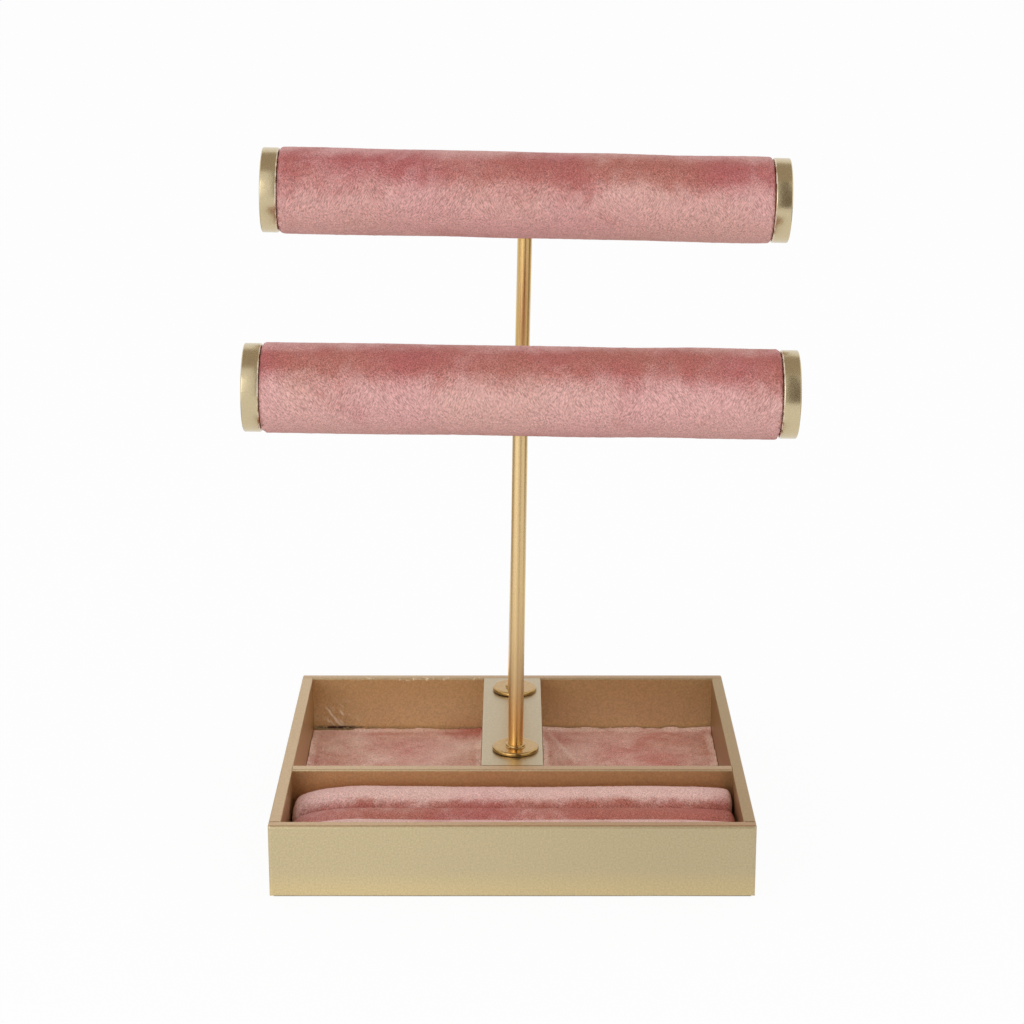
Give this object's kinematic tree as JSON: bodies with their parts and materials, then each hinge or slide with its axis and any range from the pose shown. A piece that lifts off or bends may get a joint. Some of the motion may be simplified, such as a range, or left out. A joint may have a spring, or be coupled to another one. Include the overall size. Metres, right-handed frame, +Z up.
{
  "type": "bracelet display stand",
  "caption": "Open jewellery tray with velvet-lined compartments, ring rolls and padded bracelet bars that turn on brass posts.",
  "frame": {"origin": "middle of the tray's footprint, on the felt's underside, where the display stands", "axes": "+X to the display's right, +Y to its back, +Z up"},
  "size_m": [0.2491, 0.192, 0.3011],
  "materials": {
    "gold_paint": "fibreboard sprayed with satin champagne-gold metallic paint",
    "felt": "short dense felt",
    "card": "raw paperboard",
    "liner_velvet": "rose velvet, flat",
    "roll_velvet": "rose velvet over foam",
    "foam": "open-cell foam",
    "brass": "satin brushed brass",
    "zinc_steel": "zinc plated",
    "bar_velvet": "rose velvet, padded",
    "cap_gold": "turned wooden cap with satin champagne-gold metallic paint",
    "socket_wood": "raw turned wood"
  },
  "bodies": {
    "base": {"front_board": "gold_paint", "back_board": "gold_paint", "left_board": "gold_paint", "right_board": "gold_paint", "bottom_board": "gold_paint", "divider_board": "gold_paint", "plinth_top": "gold_paint", "plinth_left_cheek": "gold_paint", "plinth_right_cheek": "gold_paint", "base_felt": "felt", "left_liner_card": "card", "right_liner_card": "card", "left_liner_velvet": "liner_velvet", "right_liner_velvet": "liner_velvet", "front_post": "brass", "rear_post": "brass", "front_post_flange": "brass", "rear_post_flange": "brass", "front_post_washer": "zinc_steel", "front_post_nut": "zinc_steel", "rear_post_washer": "zinc_steel", "rear_post_nut": "zinc_steel"},
    "lower_bar": {"lower_bar_core": "card", "lower_bar_sleeve": "bar_velvet", "lower_bar_cap_left": "cap_gold", "lower_bar_cap_right": "cap_gold", "lower_bar_socket": "socket_wood", "lower_bar_insert": "brass"},
    "upper_bar": {"upper_bar_core": "card", "upper_bar_sleeve": "bar_velvet", "upper_bar_cap_left": "cap_gold", "upper_bar_cap_right": "cap_gold", "upper_bar_socket": "socket_wood", "upper_bar_insert": "brass"},
    "ring_insert": {"ring_insert_card": "card", "rear_roll_foam": "foam", "rear_roll_cover": "roll_velvet", "middle_roll_foam": "foam", "middle_roll_cover": "roll_velvet", "front_roll_foam": "foam", "front_roll_cover": "roll_velvet"}
  },
  "joints": [
    {"name": "lower_bar_swivel", "type": "hinge", "parent": "base", "child": "lower_bar", "pos_m": [0.00382, -0.0057, 0.20363], "axis": [0.0136, 0, 0.9999], "range_deg": [-70, 70]},
    {"name": "upper_bar_swivel", "type": "hinge", "parent": "base", "child": "upper_bar", "pos_m": [0.00633, 0.0738, 0.27867], "axis": [0.0209, 0, 0.9998], "continuous": true},
    {"name": "ring_insert_lift", "type": "slide", "parent": "base", "child": "ring_insert", "axis": [0, 0, 1], "range_m": [0, 0.06]}
  ]
}
